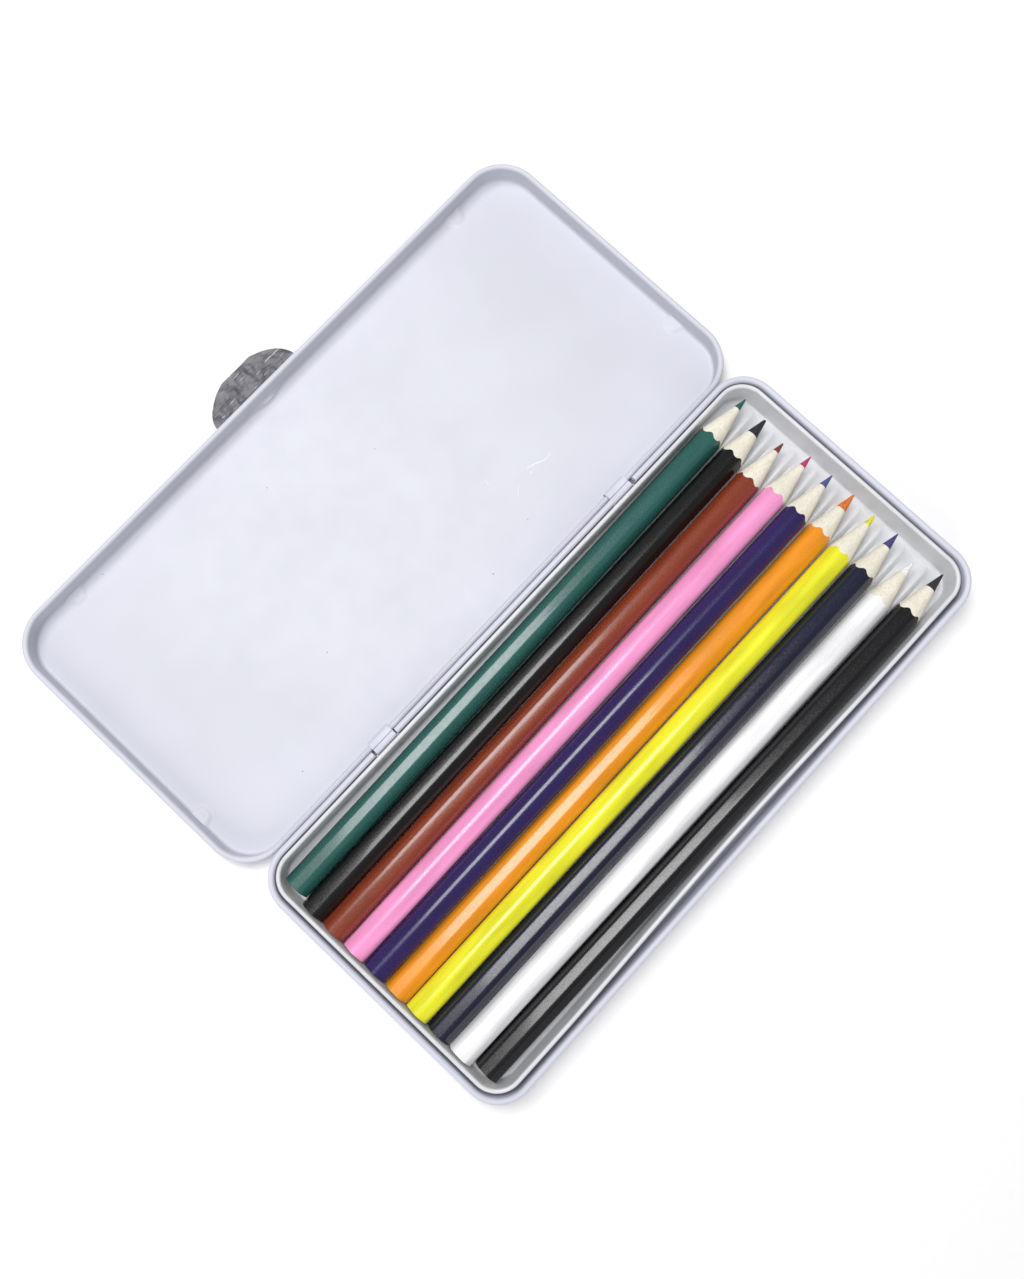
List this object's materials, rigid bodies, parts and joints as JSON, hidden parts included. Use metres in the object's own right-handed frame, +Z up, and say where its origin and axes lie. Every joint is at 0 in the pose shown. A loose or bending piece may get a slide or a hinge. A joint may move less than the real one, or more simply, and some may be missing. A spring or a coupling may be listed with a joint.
{
  "type": "flat hinged pencil tin with colouring pencils",
  "caption": "Flat hinged tin for pencils: rolled-rim base and lid open at 180 degrees, a loose formed tray and sharpened colouring pencils that lift out.",
  "frame": {"origin": "middle of the base's underside, on the surface that the tin lies on", "axes": "+X along the tin towards the pencil points, +Y across the hinge towards the open lid, +Z up"},
  "size_m": [0.188, 0.1858, 0.0101],
  "materials": {
    "base_enamel": "semi-gloss lavender-white enamel on tin plate",
    "lid_enamel": "semi-gloss lavender-white enamel on tin plate",
    "tray_plastic": "thin white thermoformed polystyrene",
    "clear_film": "crumpled clear packing film",
    "green_lacquer": "basswood in gloss green lacquer",
    "green_lead": "waxy coloured lead",
    "black_lacquer": "basswood in gloss black lacquer",
    "black_lead": "waxy coloured lead",
    "brown_lacquer": "basswood in gloss brown lacquer",
    "brown_lead": "waxy coloured lead",
    "pink_lacquer": "basswood in gloss pink lacquer",
    "pink_lead": "waxy coloured lead",
    "violet_lacquer": "basswood in gloss violet lacquer",
    "violet_lead": "waxy coloured lead",
    "orange_lacquer": "basswood in gloss orange lacquer",
    "orange_lead": "waxy coloured lead",
    "yellow_lacquer": "basswood in gloss yellow lacquer",
    "yellow_lead": "waxy coloured lead",
    "navy_lacquer": "basswood in gloss navy lacquer",
    "navy_lead": "waxy coloured lead",
    "white_lacquer": "basswood in gloss white lacquer",
    "white_lead": "waxy coloured lead",
    "charcoal_lacquer": "basswood in gloss charcoal lacquer",
    "charcoal_lead": "waxy coloured lead"
  },
  "bodies": {
    "base": {"base_pan": "base_enamel"},
    "lid": {"lid_shell": "lid_enamel", "film_tab": "clear_film"},
    "tray": {"insert_tray": "tray_plastic"},
    "pencil_green": {"pencil_green_casing": "green_lacquer", "pencil_green_core": "green_lead"},
    "pencil_black": {"pencil_black_casing": "black_lacquer", "pencil_black_core": "black_lead"},
    "pencil_brown": {"pencil_brown_casing": "brown_lacquer", "pencil_brown_core": "brown_lead"},
    "pencil_pink": {"pencil_pink_casing": "pink_lacquer", "pencil_pink_core": "pink_lead"},
    "pencil_violet": {"pencil_violet_casing": "violet_lacquer", "pencil_violet_core": "violet_lead"},
    "pencil_orange": {"pencil_orange_casing": "orange_lacquer", "pencil_orange_core": "orange_lead"},
    "pencil_yellow": {"pencil_yellow_casing": "yellow_lacquer", "pencil_yellow_core": "yellow_lead"},
    "pencil_navy": {"pencil_navy_casing": "navy_lacquer", "pencil_navy_core": "navy_lead"},
    "pencil_white": {"pencil_white_casing": "white_lacquer", "pencil_white_core": "white_lead"},
    "pencil_charcoal": {"pencil_charcoal_casing": "charcoal_lacquer", "pencil_charcoal_core": "charcoal_lead"}
  },
  "joints": [
    {"name": "lid_hinge", "type": "hinge", "parent": "base", "child": "lid", "pos_m": [0, 0.0437, 0.00575], "axis": [-1, 0, 0], "range_deg": [-180, 0]},
    {"name": "tray_lift", "type": "slide", "parent": "base", "child": "tray", "axis": [0, 0, 1], "range_m": [0, 0.012]},
    {"name": "pencil_green_lift", "type": "slide", "parent": "tray", "child": "pencil_green", "axis": [0, 0, 1], "range_m": [0, 0.016]},
    {"name": "pencil_black_lift", "type": "slide", "parent": "tray", "child": "pencil_black", "axis": [0, 0, 1], "range_m": [0, 0.016]},
    {"name": "pencil_brown_lift", "type": "slide", "parent": "tray", "child": "pencil_brown", "axis": [0, 0, 1], "range_m": [0, 0.016]},
    {"name": "pencil_pink_lift", "type": "slide", "parent": "tray", "child": "pencil_pink", "axis": [0, 0, 1], "range_m": [0, 0.016]},
    {"name": "pencil_violet_lift", "type": "slide", "parent": "tray", "child": "pencil_violet", "axis": [0, 0, 1], "range_m": [0, 0.016]},
    {"name": "pencil_orange_lift", "type": "slide", "parent": "tray", "child": "pencil_orange", "axis": [0, 0, 1], "range_m": [0, 0.016]},
    {"name": "pencil_yellow_lift", "type": "slide", "parent": "tray", "child": "pencil_yellow", "axis": [0, 0, 1], "range_m": [0, 0.016]},
    {"name": "pencil_navy_lift", "type": "slide", "parent": "tray", "child": "pencil_navy", "axis": [0, 0, 1], "range_m": [0, 0.016]},
    {"name": "pencil_white_lift", "type": "slide", "parent": "tray", "child": "pencil_white", "axis": [0, 0, 1], "range_m": [0, 0.016]},
    {"name": "pencil_charcoal_lift", "type": "slide", "parent": "tray", "child": "pencil_charcoal", "axis": [0, 0, 1], "range_m": [0, 0.016]}
  ]
}
